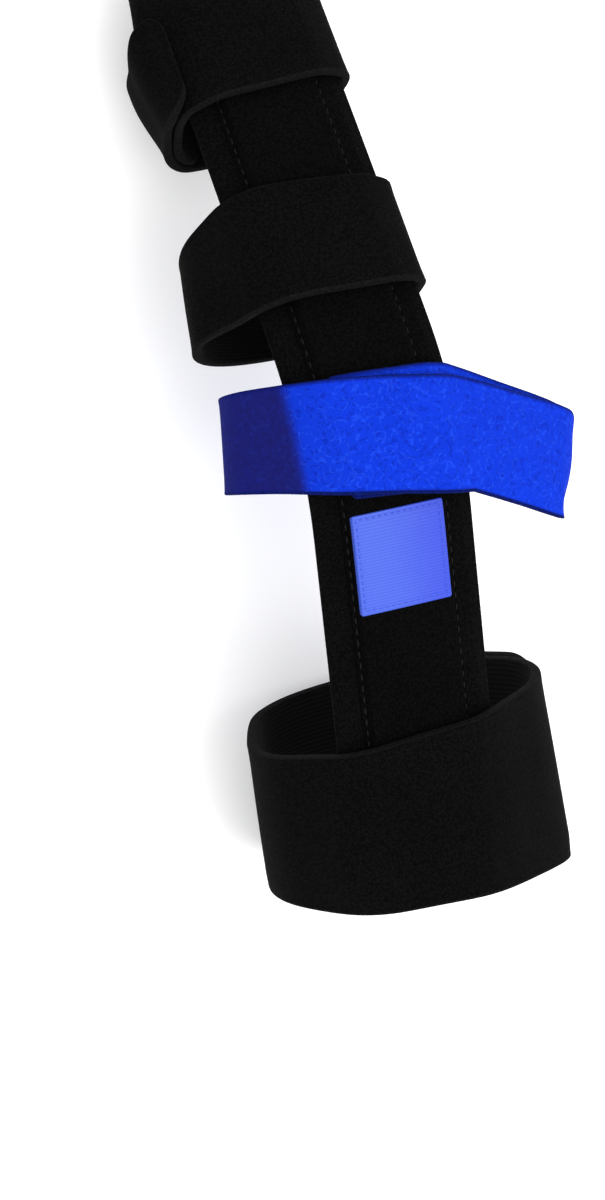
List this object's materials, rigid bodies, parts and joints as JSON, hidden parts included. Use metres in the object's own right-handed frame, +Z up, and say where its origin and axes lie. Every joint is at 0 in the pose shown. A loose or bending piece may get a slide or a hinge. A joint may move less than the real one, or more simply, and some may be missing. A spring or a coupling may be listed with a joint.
{
  "type": "finger splint",
  "caption": "Soft finger splint: a padded strip bent at the knuckles, with a stay pocket, and hook-and-loop wraps round wrist, palm and fingers.",
  "frame": {"origin": "under the middle of the splint's box, on the surface that it rests on", "axes": "+X to the little-finger side of a right hand, +Y along the splint to the fingertips, +Z up, away from the palm"},
  "size_m": [0.0858, 0.2294, 0.0782],
  "materials": {
    "strip_cloth": "matte brushed loop cloth over foam",
    "pocket_cloth": "matte brushed loop cloth",
    "label_weave": "satin woven patch",
    "wrap_loop": "matte brushed loop cloth, cut edges",
    "palm_velour": "mottled velour strap"
  },
  "bodies": {
    "root": {"base_strip": "strip_cloth", "stay_pocket": "pocket_cloth", "label": "label_weave", "wrist_wrap": "wrap_loop", "palm_strap": "palm_velour", "finger_wrap": "wrap_loop", "tip_wrap": "wrap_loop"}
  },
  "joints": []
}
